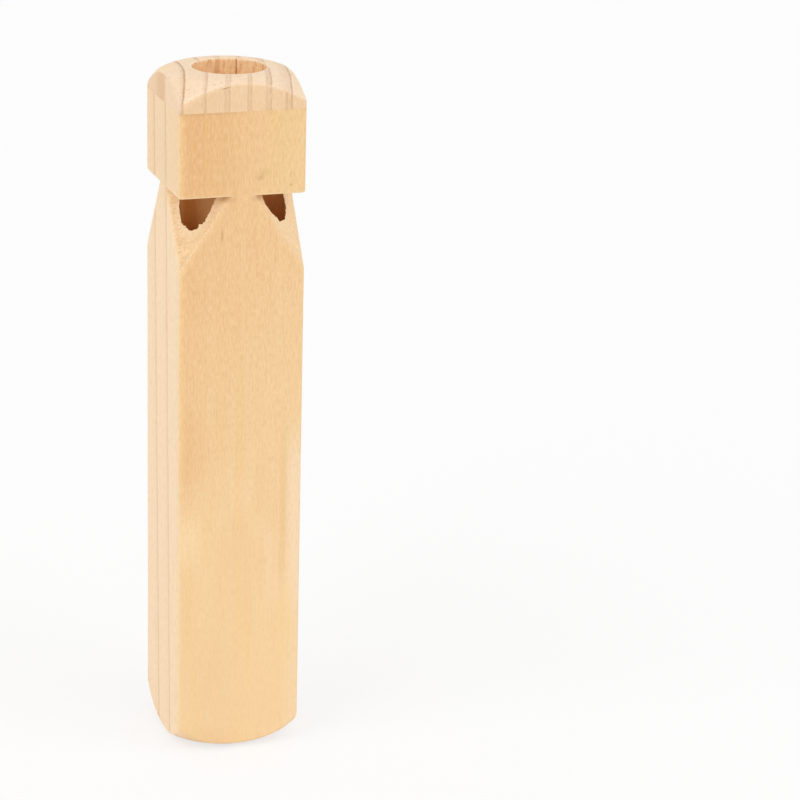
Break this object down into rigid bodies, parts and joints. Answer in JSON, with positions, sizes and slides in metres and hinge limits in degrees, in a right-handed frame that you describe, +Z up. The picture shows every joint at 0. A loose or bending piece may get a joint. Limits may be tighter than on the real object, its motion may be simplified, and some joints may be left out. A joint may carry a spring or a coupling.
{
  "type": "wooden train whistle",
  "caption": "Upright square wooden train whistle with a domed mouthpiece cap, corner sound windows and tuned chambers that are closed by fipple plugs.",
  "frame": {"origin": "centre of the flat foot, on the surface that the whistle stands on", "axes": "+Z up along the stick to the mouth hole, -Y out of the front face, +X to the right of it"},
  "size_m": [0.03, 0.03, 0.165],
  "materials": {
    "body_pine": "bare sanded pine, satin",
    "cap_pine": "bare sanded pine, satin",
    "dowel": "bare turned dowel, matt"
  },
  "bodies": {
    "root": {"body": "body_pine", "mouthpiece_cap": "cap_pine", "fipple_front_left": "dowel", "fipple_front_right": "dowel", "fipple_back_right": "dowel", "fipple_back_left": "dowel"}
  },
  "joints": []
}
